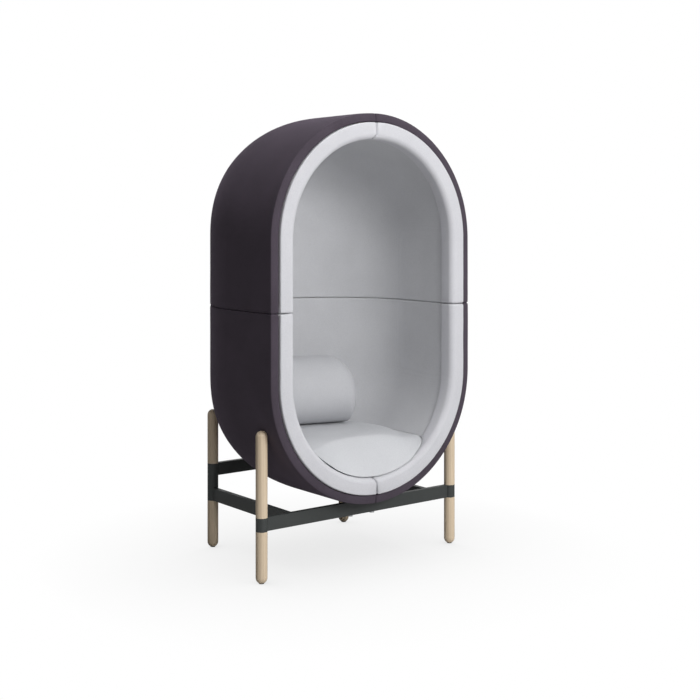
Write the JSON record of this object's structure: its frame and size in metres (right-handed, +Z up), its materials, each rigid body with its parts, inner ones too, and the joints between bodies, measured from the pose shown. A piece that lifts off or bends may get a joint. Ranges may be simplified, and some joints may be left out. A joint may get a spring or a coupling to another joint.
{
  "type": "pod chair",
  "caption": "Tall upholstered pod chair with a padded rim, lined cavity, seat cushion and loose bolster, on a steel frame with round wooden legs.",
  "frame": {"origin": "middle of the footprint's bounding box, on the floor", "axes": "+Z up, the opening faces -Y, +X is to the right of someone facing the opening"},
  "size_m": [1, 0.798, 1.79],
  "materials": {
    "dark_fabric": "woven wool blend, dark aubergine",
    "rim_fabric": "woven wool blend, very pale grey",
    "lining_fabric": "woven wool blend, light grey",
    "cushion_fabric": "woven wool blend, light grey",
    "wood": "pale ash, matt lacquer",
    "steel": "anthracite powder coat, matt",
    "plywood": "raw birch plywood",
    "foam_core": "moulded structural foam",
    "zinc": "zinc plated",
    "nylon": "black nylon"
  },
  "bodies": {
    "chair": {"upper_cover": "dark_fabric", "lower_cover": "dark_fabric", "upper_core": "foam_core", "lower_core": "foam_core", "upper_lining": "lining_fabric", "lower_lining": "lining_fabric", "upper_front_hoop": "plywood", "lower_front_hoop": "plywood", "upper_split_plate": "plywood", "lower_split_plate": "plywood", "split_bolts": "zinc", "split_t_nuts": "zinc", "upper_left_rim": "rim_fabric", "upper_right_rim": "rim_fabric", "lower_left_rim": "rim_fabric", "lower_right_rim": "rim_fabric", "front_bar": "steel", "rear_bar": "steel", "left_side_bar": "steel", "right_side_bar": "steel", "front_left_collar": "steel", "front_right_collar": "steel", "rear_left_collar": "steel", "rear_right_collar": "steel", "front_left_leg": "wood", "front_right_leg": "wood", "rear_left_leg": "wood", "rear_right_leg": "wood", "front_left_peg": "wood", "front_right_peg": "wood", "rear_left_peg": "wood", "rear_right_peg": "wood", "leg_studs": "zinc", "foot_glides": "nylon", "front_saddle": "nylon", "rear_saddle": "nylon", "frame_bolts": "zinc", "frame_t_nuts": "zinc"},
    "seat_cushion": {"seat_cushion": "cushion_fabric"},
    "bolster": {"bolster": "cushion_fabric"}
  },
  "joints": [
    {"name": "seat_cushion_lift", "type": "slide", "parent": "chair", "child": "seat_cushion", "axis": [0, 0, 1], "range_m": [0, 0.12]},
    {"name": "bolster_take_out", "type": "slide", "parent": "seat_cushion", "child": "bolster", "axis": [0, -0.9903, 0.1392], "range_m": [0, 0.66]}
  ]
}
